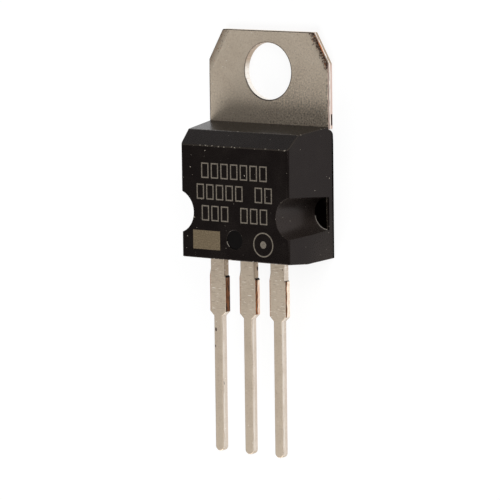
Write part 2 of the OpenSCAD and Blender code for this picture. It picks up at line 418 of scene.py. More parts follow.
def painted_outline_shade(tree, place, parts, radius):
    """1 in the thin line of painted shade along the tab's left edge and round its hole, broken along
    its right edge, elsewhere 0"""
    flat = node(tree, "ShaderNodeCombineXYZ", {"X": parts["X"], "Y": parts["Y"]})
    reach = node(tree, "ShaderNodeVectorMath", {0: flat}, operation="LENGTH")
    rim = mask(tree, (reach, radius + 0.06 * MM, radius + 0.1 * MM, 0.65, 0.0))
    left = mask(tree, (parts["X"], STRIP_LOW.x + 0.06 * MM, STRIP_LOW.x + 0.11 * MM, 0.6, 0.0))
    right = mask(tree, (parts["X"], STRIP_HIGH.x - 0.16 * MM, STRIP_HIGH.x - 0.08 * MM),
                 (grain(tree, place, 0.16, stretch=(1, 2, 1)), 0.45, 0.6, 0.0, 0.6))
    sides = node(tree, "ShaderNodeMath", {0: left, 1: right}, operation="MAXIMUM")
    return node(tree, "ShaderNodeMath", {0: rim, 1: sides}, operation="MAXIMUM")


def tin_plating(finishes, name, base, dullness=0.0, roughness=0.56, hole=0.0, streak=0.0):
    """Matt tin, electroplated on rolled copper: a warm grey satin with a fine grain and faint lines
    along the rolling direction; specks of bare and dark metal low on the tab, denser on the right;
    fine scratches and a pink left edge on the stubs of the leads, and a few nicks. A dullness mixes
    in dull tin, which on the painted_shade_tin copy is painted shade; it is smoother where the punch
    burnished it, with a bright streak along the front edge of a burnished side, and where a hole is
    given a dark line of painted shade runs along the tab's edges and round the hole"""
    material, tree, place, parts = start_material(name)
    across, along, height = parts
    leads = bpy.context.scene.regulator_leads
    stub_end = BODY_LOW.y - leads.stub_end
    on_leads = mask(tree, (along, BODY_LOW.y, BODY_HIGH.y, 1.0, 0.0))
    on_stubs = mask(tree, on_leads, (along, stub_end - 0.2 * MM, stub_end))
    low_tab = mask(tree, (along, BODY_HIGH.y, BODY_HIGH.y + 5 * MM, 1.0, 0.25),
                   (along, BODY_LOW.y, BODY_HIGH.y), (across, -3 * MM, 2 * MM, 0.35, 1.0))
    cloud = mask(tree, (grain(tree, place, 1.6, detail=3.0), 0.4, 0.75, dullness, dullness + 0.15))
    cloud = node(tree, "ShaderNodeMath", {0: on_leads, 1: 0.2, 2: cloud}, operation="MULTIPLY_ADD")
    from_middle = node(tree, "ShaderNodeMath", {0: across, 1: leads.pitch / 2, 2: -leads.pitch / 2},
                       operation="WRAP")
    left_edge = (from_middle, 0.06 * MM - leads.stub / 2, 0.12 * MM - leads.stub / 2, 0.45, 0.0)
    lines = grain(tree, place, 0.06, stretch=(9, 1, 4), detail=1.0)
    dots = grain(tree, place, 0.13, rough=0.7)
    nicks = grain(tree, place, 0.32, stretch=(1, 2, 1), detail=1.0)
    dull, bright, dark = finishes.tin_dull, finishes.tin_bright, finishes.scuff_and_shade
    shade = coats(
        tree, base, (cloud, dull), ((grain(tree, place, 0.11), 0.5, 0.72, 0.0, 0.3), dull),
        (mask(tree, (dots, 0.45, 0.35, 0.0, 0.45), low_tab), dark),
        (mask(tree, (dots, 0.52, 0.62, 0.0, 0.95), low_tab), finishes.copper_pale),
        (mask(tree, (lines, 0.62, 0.7, 0.0, 0.6), on_stubs), dull),
        (mask(tree, (lines, 0.34, 0.26), on_stubs), bright),
        ((grain(tree, place, 0.12, detail=0.0), 0.83, 0.86), bright),
        (mask(tree, (nicks, 0.74, 0.79), on_leads), dark),
        (mask(tree, left_edge, on_stubs), finishes.cut_copper))
    if streak:
        rubbed = (grain(tree, place, 0.15, stretch=(1, 8, 1), detail=1.0), 0.35, 0.55)
        edge = (height, STRIP_HIGH.z - 0.28 * MM, STRIP_HIGH.z - 0.14 * MM, 0.0, streak)
        shade = coats(tree, shade, (mask(tree, rubbed, edge), bright))
    if hole:
        # A dark line of painted shade along the tab's edges and round its hole
        shade = coats(tree, shade, (painted_outline_shade(tree, place, parts, hole / 2), dark))
    roll = grain(tree, place, 0.07, stretch=(1, 22, 1), detail=1.0)
    fine = grain(tree, place, 0.09)
    relief = node(tree, "ShaderNodeMath", {0: roll, 1: fine}, operation="ADD")
    rough = mask(tree, (fine, 0.3, 0.7, roughness - 0.06, roughness + 0.06))
    return finish_material(material, tree, {
        "Base Color": shade, "Metallic": 1.0, "Roughness": rough}, relief, 0.35, 0.012)


def front_line(tree, place, height, front, width):
    """1 within a width of the strip's front face and 0 behind it, with a ragged border"""
    ragged = grain(tree, place, 0.3, stretch=(1, 2, 1))
    shift = node(tree, "ShaderNodeMath", {0: ragged, 1: width, 2: height}, operation="MULTIPLY_ADD")
    return mask(tree, (shift, front - width * 0.6, front - width * 0.3))


def cut_copper(finishes, name, front, tarnish, pale, line_width):
    """Bare copper sheared with the tie bar: salmon metal with lines along the cut, a brown line
    along the front edge, tarnish all over where its share is high, and pale flecks of tin"""
    material, tree, place, parts = start_material(name)
    streak = grain(tree, place, 0.07, stretch=(1, 6, 1))
    patch = grain(tree, place, 0.22, stretch=(1, 5, 1), detail=3.0)
    brown = node(tree, "ShaderNodeMath", {
        0: mask(tree, (patch, 0.75 - 0.6 * tarnish, 0.95 - 0.6 * tarnish)),
        1: front_line(tree, place, parts["Z"], front, line_width)}, operation="MAXIMUM")
    red = (streak, 0.44, 0.6, 0.0, 0.6 - 0.35 * tarnish)
    dark = coats(tree, finishes.copper_dark, (red, finishes.cut_copper))
    flecks = (streak, 0.62 - 0.3 * pale, 0.7 - 0.3 * pale)
    shade = coats(tree, finishes.copper, (flecks, finishes.copper_pale), (brown, dark))
    lines = grain(tree, place, 0.06, stretch=(1, 1, 8), detail=1.0)
    return finish_material(material, tree, {
        "Base Color": shade, "Metallic": 1.0, "Roughness": 0.45}, lines, 0.5, 0.015)


def smeared_cut(finishes, front, corner_y):
    """The tab's sheared edges: tin dragged over the copper by the punch, pale and pinkish, with a
    bright burnished line along the middle, and copper and grime towards the front"""
    material, tree, place, parts = start_material("smeared_cut")
    along = parts["Y"]
    streak = grain(tree, place, 0.1, stretch=(1, 8, 1))
    wander = node(tree, "ShaderNodeMath", {0: streak, 1: 0.2 * MM, 2: parts["Z"]},
                  operation="MULTIPLY_ADD")
    burnished = mask(tree, (wander, 0.32 * MM, 0.38 * MM), (wander, 0.42 * MM, 0.48 * MM, 0.9, 0.0))
    line = front_line(tree, place, parts["Z"], front, 0.2 * MM)
    bare = mask(tree, (grain(tree, place, 0.4, detail=3.0), 0.36, 0.5), line,
                (along, corner_y + 0.45 * MM, corner_y + 0.75 * MM),
                (along, corner_y + 1.25 * MM, corner_y + 1.55 * MM, 1.0, 0.15))
    shade = coats(
        tree, finishes.cut_edge, ((along, corner_y - 0.2 * MM, corner_y + 0.2 * MM), finishes.tin_dull),
        (burnished, finishes.tin_bright), (mask(tree, streak, line), finishes.scuff_and_shade),
        (bare, finishes.cut_copper))
    lines = grain(tree, place, 0.06, stretch=(1, 1, 8), detail=1.0)
    return finish_material(material, tree, {
        "Base Color": shade, "Metallic": 1.0, "Roughness": 0.4}, lines, 0.4, 0.012)


def punched_bore(finishes):
    """The hole's wall: bright tin on its lower side as a painted highlight, dull towards the tab's
    end, with fine lines along the punch's way"""
    material, tree, place, parts = start_material("punched_bore")
    lines = grain(tree, place, 0.09, stretch=(1, 1, 9), detail=1.0)
    # Painted highlight: the lower side of the wall bright, the upper side dull
    shade = coats(tree, finishes.tin_bright, ((parts["Y"], -0.2 * MM, 0.9 * MM), finishes.tin_dull),
                  ((lines, 0.55, 0.7, 0.0, 0.4), finishes.cut_edge))
    return finish_material(material, tree, {
        "Base Color": shade, "Metallic": 1.0, "Roughness": 0.35}, lines, 0.3, 0.01)


def shaded_notch_floor(finishes, notch, radius):
    """The pad where the mould's pins pressed it flat: smooth metal painted near black as the shade in
    the notches, with a thin pale arc along the foot of the notch's wall, a painted highlight"""
    material, tree, place, parts = start_material("shaded_notch_floor")
    right = node(tree, "ShaderNodeMath", {0: parts["X"]}, operation="ABSOLUTE")
    flat = node(tree, "ShaderNodeCombineXYZ", {"X": right, "Y": parts["Y"]})
    reach = node(tree, "ShaderNodeVectorMath", {0: flat, 1: notch}, operation="DISTANCE")
    # Painted highlight: a thin pale arc along the foot of the notch's wall
    arc_highlight = mask(tree, (reach, radius - 0.075 * MM, radius - 0.04 * MM),
                   (parts["Y"], notch.y - 0.25 * MM, notch.y - 0.1 * MM, 1.0, 0.0))
    thin = (grain(tree, place, 0.3, detail=3.0), 0.6, 0.8, 0.0, 0.3)
    shade = coats(tree, finishes.notch_floor_shade, (thin, finishes.copper_dark),
                  (arc_highlight, finishes.tin_bright))
    rough = mask(tree, (arc_highlight, 0.0, 1.0, 0.16, 0.7))
    return finish_material(material, tree, {
        "Base Color": shade, "Metallic": 1.0, "Roughness": rough})


def scuffed_plating(finishes, name, corner, across, width, strength):
    """Plating that the punch broke beside a corner cut: brown spots and a little bare copper on
    tin, thick along the cut and thin away from it"""
    material, tree, place, _ = start_material(name)
    outwards = node(tree, "ShaderNodeVectorMath", {0: place, 1: across}, operation="DOT_PRODUCT")
    away = node(tree, "ShaderNodeMath", {0: corner.dot(across), 1: outwards}, operation="SUBTRACT")
    limit = mask(tree, (away, 0.0, width, 1.28 - strength, 0.86))
    spots = grain(tree, place, 0.14, detail=3.0, rough=0.8)
    broken = node(tree, "ShaderNodeMath", {0: spots, 1: limit}, operation="SUBTRACT")
    broken = mask(tree, (broken, -0.3, -0.16, 0.0, 0.95))
    bare = (grain(tree, place, 0.22), 0.62, 0.68)
    dark = coats(tree, finishes.scuff_and_shade, (bare, finishes.cut_copper))
    shade = coats(tree, finishes.tin, ((away, 0.0, width, 0.9, 0.0), finishes.tin_dull),
                  (broken, dark))
    return finish_material(material, tree, {
        "Base Color": shade, "Metallic": 1.0, "Roughness": 0.52}, broken, 0.5, 0.015)


def shade_and_tear_metal(finishes):
    """A rough, near-black metal: painted shade on step faces, on the top of some stubs and on the tab's
    rounded edges, and the dark face of the small dent in the tab's side
    """
    material, tree, place, _ = start_material("shade_and_tear_metal")
    spots = (grain(tree, place, 0.1), 0.4, 0.7)
    shade = coats(tree, shaded(finishes.scuff_and_shade, 0.08), (spots, shaded(finishes.scuff_and_shade, 0.5)))
    return finish_material(material, tree, {
        "Base Color": shade, "Metallic": 1.0, "Roughness": 0.7})


def strip_materials(finishes, strip, name, tarnish, pale, line_width):
    """The materials of a stamped piece, in the order of the slot names"""
    corner = Vector((STRIP_HIGH.x, STRIP_HIGH.y - strip.corner_height, 0))
    across = Vector((strip.corner_height, strip.corner_width, 0)).normalized()
    mirror = Matrix.Scale(-1, 3, (1, 0, 0))
    body = bpy.context.scene.regulator_body
    notch = Vector((BODY_HIGH.x - body.notch_in, BODY_HIGH.y - body.notch_down, 0))
    width = strip.trim_band
    return [
        tin_plating(finishes, "tin_plating", finishes.tin, hole=strip.hole),
        cut_copper(finishes, "cut_copper_" + name, STRIP_HIGH.z, tarnish, pale, line_width),
        tin_plating(finishes, "burnished_tin", finishes.tin_burnished, 0.0, 0.42, streak=0.42),
        smeared_cut(finishes, strip.thickness, corner.y),
        scuffed_plating(finishes, "scuffed_plating", corner, across, width, 0.66),
        shaded_notch_floor(finishes, notch, body.notch_floor),
        scuffed_plating(finishes, "pressed_plating", mirror @ corner, mirror @ across, width, 0.45),
        # Tin darkened with dull patches: painted shade on edges and neck sides that turn from the light
        tin_plating(finishes, "painted_shade_tin", finishes.tin, 0.6, 0.6),
        # Near-black metal: painted shade, and the dent in the tab's side
        shade_and_tear_metal(finishes),
        punched_bore(finishes),
    ]


def moulded_epoxy(finishes, name, base, speck_share):
    """Black epoxy moulded in a spark-eroded steel mould: near black, finely matt, with a few
    pale specks of filler and dust, and paler towards the back of the lead end, which is painted light"""
    material, tree, place, parts = start_material(name)
    cloud = (grain(tree, place, 1.2, detail=3.0), 0.4, 0.8, 0.0, 0.12)
    # Painted light: paler epoxy towards the back of the lead end
    painted_light = mask(tree, (parts["Y"], BODY_LOW.y, BODY_LOW.y + 4 * MM, 0.55, 0.0),
                (parts["Z"], 0.5 * MM, 3.5 * MM, 1.0, 0.0))
    specks = (grain(tree, place, 0.17, detail=1.0), 0.785 - speck_share, 0.805 - speck_share)
    shade = coats(tree, base, (cloud, finishes.epoxy_pale), (painted_light, finishes.epoxy_pale),
                  (specks, finishes.speck_and_highlight))
    fine = grain(tree, place, 0.08)
    return finish_material(material, tree, {
        "Base Color": shade, "Roughness": mask(tree, (fine, 0.3, 0.7, 0.23, 0.35)),
        "Specular IOR Level": 0.23, "Specular Tint": (1.0, 0.82, 0.78)}, fine, 0.25, 0.012)


def dark_epoxy(finishes, name, size_mm, smoothest, roughest, gloss):
    """Epoxy darker than the rest: polished under the end of the mould's ejector pin, and rough and
    unreflecting in the strip along the back edges, which is painted shade"""
    material, tree, place, _ = start_material(name)
    rough = mask(tree, (grain(tree, place, size_mm), 0.3, 0.7, smoothest, roughest))
    return finish_material(material, tree, {
        "Base Color": shaded(finishes.epoxy, 0.5), "Roughness": rough, "Specular IOR Level": gloss})


def laser_burn(name, base):
    """Epoxy burnt by a marking laser: a dull pale grey of fine dots"""
    material, tree, place, _ = start_material(name)
    dots = (grain(tree, place, 0.09, detail=1.0), 0.35, 0.6, 0.0, 0.55)
    return finish_material(material, tree, {
        "Base Color": coats(tree, base, (dots, shaded(base, 0.35))), "Roughness": 0.8,
        "Specular IOR Level": 0.2})


def inner_metal(name, base, roughness, size_mm):
    """A plain metal inside the body, with a faint grain of the given size"""
    material, tree, place, _ = start_material(name)
    spots = (grain(tree, place, size_mm), 0.3, 0.7, 0.0, 0.4)
    return finish_material(material, tree, {
        "Base Color": coats(tree, base, (spots, shaded(base, 0.7))), "Metallic": 1.0,
        "Roughness": roughness})


def right_half_of_lead(leads, neck_top):
    """Points of X and Y down the right side of a lead whose middle is at X = 0"""
    start = BODY_LOW.y - leads.stub_start
    end = BODY_LOW.y - leads.stub_end
    tip = STRIP_LOW.y
    ramp = (leads.stub - leads.neck) / 2
    return [
        (leads.neck / 2, neck_top),
        (leads.neck / 2, start + ramp),
        (leads.stub / 2, start),
        (leads.stub / 2, end),
        (leads.thin / 2, end - leads.shoulder),
        (leads.thin / 2, tip + leads.tip_cut),
        (leads.thin / 2 - leads.tip_cut, tip),
    ]


def finish_lead(bm, leads, middle):
    """Shapes one lead's details, where its middle is at X = middle: a sharp step on the right of
    the stub, a drawn-out ramp on its left and a rounded tip; then marks its bare and burnished
    faces, and paints shade on its step faces, on the top of the stub's right side and on the neck
    sides of the left and middle leads"""
    start = BODY_LOW.y - leads.stub_start
    end = BODY_LOW.y - leads.stub_end
    tip = STRIP_LOW.y
    ramp = (leads.stub - leads.neck) / 2
    for vert in bm.verts:
        across = vert.co.x - middle
        if abs(abs(across) - leads.neck / 2) < TINY and abs(vert.co.y - start - ramp) < TINY:
            vert.co.y = start + (leads.step if across > 0 else leads.ramp)
    bm.normal_update()
    right = middle + leads.stub / 2
    # Painted shade on the top of the stub's right side, below the sharp step, on the left and middle
    # leads
    step_shade = start - leads.step_shade
    cut(bm, faces_on(bm, "x", right), (0, step_shade, 0), (0, 1, 0))
    for face in bm.faces:
        centre = face.calc_center_median()
        at_stub = abs(abs(centre.x - middle) - leads.stub / 2) < TINY and bounded(end, centre.y, start)
        on_neck = bounded(start - leads.ramp, centre.y, BODY_LOW.y)
        blackened = at_stub and centre.x > middle and centre.y > step_shade and middle < TINY
        if blackened:
            face.material_index = SHADE_AND_TEAR
        elif at_stub:
            face.material_index = CUT
        elif centre.y < tip + leads.tip_cut:
            face.material_index = PLATED
        # Painted shade on the step faces that face the tab end
        elif on_neck and face.normal.y > 0.5:
            face.material_index = SHADE_AND_TEAR
        # Painted shade: the neck sides of the left and middle leads are darkened
        elif on_neck and abs(face.normal.z) < 0.5 and middle < TINY:
            face.material_index = SHADED_TIN
        elif centre.y < BODY_LOW.y and abs(face.normal.z) < 0.5:
            face.material_index = BURNISHED
    corners = []
    for edge in sharp_edges(bm):
        a, b = (v.co for v in edge.verts)
        if abs(a.x - b.x) < TINY and abs(a.y - b.y) < TINY and a.y < tip + 2 * leads.tip_cut:
            corners.append(edge)
    round_edges(bm, corners, leads.tip_round, 3)


class REGULATOR_OT_heat_sink(bpy.types.Operator):
    """Stamps and bends the tab, pad, strap and middle lead from one strip"""
    bl_idname = "regulator.heat_sink"
    bl_label = "Heat Sink and Centre Lead"

    def execute(self, context):
        scene = context.scene
        sizes, leads = scene.regulator_strip, scene.regulator_leads
        thickness = sizes.thickness
        half_tab = STRIP_HIGH.x
        half_pad = half_tab - sizes.pad_inset
        tab_top = STRIP_HIGH.y
        pad_top = BODY_HIGH.y - sizes.tab_under
        pad_end = BODY_LOW.y + sizes.pad_clear
        lead_rise = STRIP_HIGH.z - thickness
        steps = scene.regulator_stage.samples
        turns = [math.pi * (i / steps - 0.5) for i in range(steps + 1)]
        outline = [(sizes.hole / 2 * math.cos(t), sizes.hole / 2 * math.sin(t)) for t in turns]
        outline[0] = (0, -sizes.hole / 2)
        outline[-1] = (0, sizes.hole / 2)
        outline += [
            (0, tab_top), (half_tab - sizes.corner_width, tab_top),
            (half_tab, tab_top - sizes.corner_height), (half_tab, pad_top),
            (half_pad, pad_top), (half_pad, pad_end),
        ]
        outline += right_half_of_lead(leads, pad_end)
        outline.append((0, STRIP_LOW.y))

        # Half of the flat blank, as thick as the metal over the coined step
        bm = bmesh.new()
        front = polygon(bm, outline, thickness)
        extrude(bm, [front], (0, 0, -sizes.lock_thickness), keep=True)
        level = thickness - sizes.lock_thickness
        step_in = half_pad - sizes.lock_width
        step_end = pad_end + sizes.lock_width
        for point, normal in (
            ((leads.neck / 2, 0, 0), (1, 0, 0)), ((step_in, 0, 0), (1, 0, 0)),
            ((0, step_end, 0), (0, 1, 0)), ((0, pad_top, 0), (0, 1, 0)),
        ):
            cut(bm, faces_on(bm, "z", level), point, normal)

        # The full thickness, except on the step around the pad
        full = []
        for face in faces_on(bm, "z", level):
            centre = face.calc_center_median()
            beside = centre.x > step_in or centre.y < step_end
            if not (centre.x > leads.neck / 2 and bounded(pad_end, centre.y, pad_top) and beside):
                full.append(face)
        extrude(bm, full, (0, 0, -level))

        # The bends of the strap
        bend_1 = pad_end - sizes.strap_flat
        bend_2 = bend_1 - sizes.strap_run
        for place in (bend_1, bend_2):
            cut(bm, bm.faces[:], (0, place, 0), (0, 1, 0))
        ahead = thickness * math.tan(math.atan2(lead_rise, sizes.strap_run) / 2)
        for vert in bm.verts:
            at_bend = min(abs(vert.co.y - bend_1), abs(vert.co.y - bend_2)) < TINY
            if vert.co.y < bend_2 + TINY:
                vert.co.z += lead_rise
            if at_bend and vert.co.z > thickness - TINY and not abs(vert.co.z - lead_rise) < TINY:
                vert.co.y += ahead

        # The band that the punch rolled over beside the corner cut
        across = Vector((sizes.corner_height, sizes.corner_width, 0)).normalized()
        corner = Vector((half_tab, tab_top - sizes.corner_height, 0))
        cut(bm, faces_on(bm, "z", thickness), corner - across * sizes.trim_band, across)
        for face in bm.faces:
            centre = face.calc_center_median()
            outside = (centre - corner).dot(across)
            if outside > -sizes.trim_band and abs(centre.z - thickness) < TINY:
                face.material_index = SCUFFED
            elif abs(outside) < TINY or abs(centre.x - half_tab) < TINY:
                face.material_index = SMEARED
        for vert in bm.verts:
            if abs((vert.co - corner).dot(across)) < TINY and abs(vert.co.z - thickness) < TINY:
                vert.co.z -= sizes.rollover

        # The face that the moulding covers, with the floors of its notches, which get painted shade
        cut(bm, faces_on(bm, "z", thickness), (0, pad_top, 0), (0, 1, 0))
        for face in bm.faces:
            centre = face.calc_center_median()
            if abs(centre.z - thickness) < TINY and bounded(pad_end, centre.y, pad_top):
                face.material_index = NOTCH_FLOOR_SHADE

        # The other half
        bmesh.ops.delete(bm, geom=faces_on(bm, "x", 0), context="FACES")
        geom = bm.verts[:] + bm.edges[:] + bm.faces[:]
        bmesh.ops.mirror(bm, geom=geom, matrix=Matrix.Identity(4), merge_dist=TINY, axis="X")
        bmesh.ops.recalc_face_normals(bm, faces=bm.faces)
        finish_lead(bm, leads, 0)
        for face in bm.faces:
            centre = face.calc_center_median()
            if centre.xy.length < sizes.hole / 2 and abs(face.normal.z) < 0.5:
                face.material_index = BORE
            if face.material_index == SCUFFED and centre.x < 0:
                face.material_index = PRESSED
        paint_edge_shade(bm, round_edges(bm, sharp_edges(bm), sizes.edge, 2))

        # A small torn dent at the back of the tab's right side, close to the body
        nick_low = BODY_HIGH.y + sizes.nick_up
        nick_high = nick_low + sizes.nick_length
        for point, normal in (((0, nick_low, 0), (0, 1, 0)), ((0, nick_high, 0), (0, 1, 0)),
                              ((0, 0, sizes.nick_height), (0, 0, 1))):
            cut(bm, faces_on(bm, "x", half_tab), point, normal)
        for face in faces_on(bm, "x", half_tab):
            centre = face.calc_center_median()
            in_nick = bounded(nick_low, centre.y, nick_high)
            if in_nick and centre.z < sizes.nick_height:
                face.material_index = SHADE_AND_TEAR
                extrude(bm, [face], (-sizes.nick_depth, 0, 0))
                break
        materials = strip_materials(scene.regulator_finishes, sizes, "centre_lead",
                                    tarnish=0.1, pale=0.3, line_width=0.27 * MM)
        finish_mesh(bm, "tab_and_centre_lead", materials, slot="plated_copper",
                    replaced=["heat_sink_and_centre_lead"])
        return {"FINISHED"}


class REGULATOR_OT_outer_leads(bpy.types.Operator):
    """Stamps the two outer leads with their bond posts"""
    bl_idname = "regulator.outer_leads"
    bl_label = "Outer Leads"

    def execute(self, context):
        scene = context.scene
        sizes, leads = scene.regulator_strip, scene.regulator_leads
        colours = scene.regulator_finishes
        # The side, and the tarnish, pale flecks and width of the brown line on the cut face
        kinds = (("left_lead", -1, 0.9, 0.0, 0.2 * MM), ("right_lead", 1, 0.05, 0.8, 0.17 * MM))
        for name, side, tarnish, pale, line in kinds:
            materials = strip_materials(colours, sizes, name, tarnish, pale, line)
            middle = side * leads.pitch
            post_end = BODY_LOW.y + leads.post_in
            post_top = post_end + leads.post_length
            inner = leads.post_out - leads.post_width
            low, high = sorted((side * inner, side * leads.post_out))
            right = right_half_of_lead(leads, post_end)
            left = [(-x, y) for x, y in reversed(right)]
            post = [(low, post_end), (low, post_top), (high, post_top), (high, post_end)]
            bm = bmesh.new()
            face = polygon(bm, [(x + middle, y) for x, y in right + left + post], STRIP_HIGH.z)
            extrude(bm, [face], (0, 0, -sizes.thickness), keep=True)
            bmesh.ops.recalc_face_normals(bm, faces=bm.faces)
            finish_lead(bm, leads, middle)
            paint_edge_shade(bm, round_edges(bm, sharp_edges(bm), sizes.edge, 2))
            finish_mesh(bm, "plated_" + name, materials, slot="plated_copper", replaced=[name])
        return {"FINISHED"}


def body_profile(sizes, strip):
    """Points of Y and Z around the body's side view"""
    low, high = BODY_LOW, BODY_HIGH
    pad_top = high.y - strip.tab_under
    bevel_z = high.z - sizes.bevel_depth
    lead_back = STRIP_HIGH.z - strip.thickness
    lead_end = low.y - sizes.lead_end
    steps = 8
    turns = [-math.pi / 2 * i / steps for i in range(steps + 1)]
    flank = [(pad_top - sizes.flank * (1 - math.cos(t)), low.z + sizes.flank * (1 + math.sin(t)))
             for t in turns]
    return [
        (lead_end + sizes.back_inset, low.z), (lead_end, lead_back),
        (lead_end + sizes.front_inset, high.z),
        (high.y - sizes.top_inset - sizes.bevel_height, high.z),
        (high.y - sizes.top_inset, bevel_z), (high.y, strip.thickness),
        (pad_top, strip.thickness),
    ] + flank


def subtract(bm, cutter):
    """Cuts a second mesh out of the first, and returns the result as a new bmesh"""
    objects = []
    for source in (bm, cutter):
        mesh = bpy.data.meshes.new("working_shape")
        source.to_mesh(mesh)
        source.free()
        objects.append(bpy.data.objects.new("working_shape", mesh))
        bpy.context.scene.collection.objects.link(objects[-1])
    change = objects[0].modifiers.new("Cut", "BOOLEAN")
    change.operation = "DIFFERENCE"
    change.solver = "EXACT"
    change.object = objects[1]
    result = bmesh.new()
    result.from_object(objects[0], bpy.context.evaluated_depsgraph_get())
    for used in objects:
        mesh = used.data
        bpy.data.objects.remove(used)
        bpy.data.meshes.remove(mesh)
    return result


class REGULATOR_OT_body(bpy.types.Operator):
    """Moulds the black body with its bevel, side notches and ejector mark"""
    bl_idname = "regulator.body"
    bl_label = "Moulded Body"

    def execute(self, context):
        scene = context.scene
        sizes, strip = scene.regulator_body, scene.regulator_strip
        low, high = BODY_LOW, BODY_HIGH
        bm = bmesh.new()
        side = bm.faces.new([bm.verts.new((low.x, y, z)) for y, z in body_profile(sizes, strip)])
        extrude(bm, [side], (high.x - low.x, 0, 0), keep=True)
        bmesh.ops.recalc_face_normals(bm, faces=bm.faces)

        # The two long sides lean in towards the front
        lean = math.atan2(sizes.side_inset, high.z - low.z)
        for way in (-1, 1):
            everything = bm.verts[:] + bm.edges[:] + bm.faces[:]
            made = bmesh.ops.bisect_plane(
                bm, geom=everything, dist=TINY, plane_co=(way * high.x, 0, low.z),
                plane_no=(way * math.cos(lean), 0, math.sin(lean)), clear_outer=True)
            rim = [g for g in made["geom_cut"] if isinstance(g, bmesh.types.BMEdge)]
            bmesh.ops.holes_fill(bm, edges=rim, sides=0)
        bmesh.ops.recalc_face_normals(bm, faces=bm.faces)

        # The long front edges are rounded
        long_edges = []
        for edge in bm.edges:
            a, b = (v.co for v in edge.verts)
            if min(a.z, b.z) > high.z - TINY and abs(a.x - b.x) < TINY and abs(a.y - b.y) > MM:
                long_edges.append(edge)
        reach = sizes.long_edge * math.tan((math.pi / 2 - lean) / 2)
        round_edges(bm, long_edges, reach, 5)
        free = [e for e in sharp_edges(bm)
                if all(any(abs(v.co.z - z) > TINY for v in e.verts) for z in (low.z, strip.thickness))]
        # The rounded edges get paler epoxy with more specks: wear and dust, and partly a painted
        # highlight
        for face in round_edges(bm, free, sizes.edge, 2):
            face.material_index = WORN_AND_LIT_EDGE
        back = [e for e in sharp_edges(bm) if all(abs(v.co.z - low.z) < TINY for v in e.verts)]
        round_edges(bm, back, sizes.rim, 2)

        # The notches and the ejector mark
        floor_z = strip.thickness - sizes.floor_drop
        depth = high.z - floor_z
        rise = depth + 0.5 * MM
        top_radius = sizes.notch_floor + (sizes.notch_front - sizes.notch_floor) / depth * rise
        notch = Vector((high.x - sizes.notch_in, high.y - sizes.notch_down))
        mark = Vector((0, low.y - sizes.lead_end + sizes.front_inset + sizes.ejector_up))
        mark_radius = sizes.ejector / 2
        cuts = [((way * notch.x, notch.y, floor_z + rise / 2), sizes.notch_floor, top_radius, rise)
                for way in (-1, 1)]
        cuts.append(((*mark, high.z), mark_radius, mark_radius, 2 * sizes.ejector_depth))
        for centre, bottom, top, tall in cuts:
            cutter = bmesh.new()
            bmesh.ops.create_cone(
                cutter, cap_ends=True, segments=2 * scene.regulator_stage.samples, radius1=bottom,
                radius2=top, depth=tall, matrix=Matrix.Translation(centre))
            bm = subtract(bm, cutter)
        bmesh.ops.remove_doubles(bm, verts=bm.verts, dist=HAIR)

        def at_notch(point):
            """Whether a point lies within the round of one of the two notches"""
            reach = math.hypot(abs(point.x) - notch.x, point.y - notch.y)
            return reach < sizes.notch_front + TINY

        rims = []
        for edge in sharp_edges(bm):
            middle = (edge.verts[0].co + edge.verts[1].co) / 2
            on_cut = at_notch(middle) or (middle.xy - mark).length < mark_radius + TINY
            if edge.is_convex and on_cut and middle.z > floor_z + HAIR:
                rims.append(edge)
        for face in round_edges(bm, rims, sizes.rim, 2):
            face.material_index = WORN_AND_LIT_EDGE
        bm.normal_update()
        flanks = [f for f in bm.faces if abs(f.normal.x) > 0.9]
        # A strip along the back edges gets near-black epoxy: painted shade
        cut(bm, flanks, (0, 0, sizes.back_shade_height), (0, 0, 1))
        bm.normal_update()
        mark_floor = high.z - sizes.ejector_depth
        for face in bm.faces:
            centre = face.calc_center_median()
            away = centre.xy - mark
            turn = math.atan2(away.y, away.x)
            on_rim = abs(away.length - mark_radius) < sizes.edge / 2 and centre.z > mark_floor - TINY
            if abs(centre.z - mark_floor) < TINY and away.length < mark_radius:
                face.material_index = PIN_FACE
            # Painted highlight on a stretch of the mark's rim
            elif on_rim and bounded(sizes.highlight_start, turn, sizes.highlight_end):
                face.material_index = RIM_HIGHLIGHT
            elif centre.z < sizes.back_shade_height and abs(face.normal.x) > 0.1:
                face.material_index = BACK_SHADE
            elif at_notch(centre) and abs(face.normal.z) < 0.5:
                face.material_index = NOTCH_WALL
        colours = scene.regulator_finishes
        materials = [moulded_epoxy(colours, "moulded_epoxy", colours.epoxy, 0.0),
                     # Paler edges: wear and dust, and partly a painted highlight
                     moulded_epoxy(colours, "worn_and_lit_epoxy_edge", colours.epoxy_pale, 0.13),
                     dark_epoxy(colours, "ejector_pin_face", 0.3, 0.4, 0.45, 0.12),
                     # Painted shade along the back edges
                     dark_epoxy(colours, "painted_back_shade", 0.1, 0.85, 1.0, 0.0),
                     # Painted highlight on the ejector mark's rim
                     laser_burn("painted_rim_highlight", colours.speck_and_highlight),
                     # Painted light on the notch walls
                     moulded_epoxy(colours, "painted_lit_notch_wall", colours.epoxy_notch_lit, 0.02)]
        finish_mesh(bm, "black_moulded_body", materials, slot="epoxy_moulding",
                    replaced=["moulded_body"])
        return {"FINISHED"}


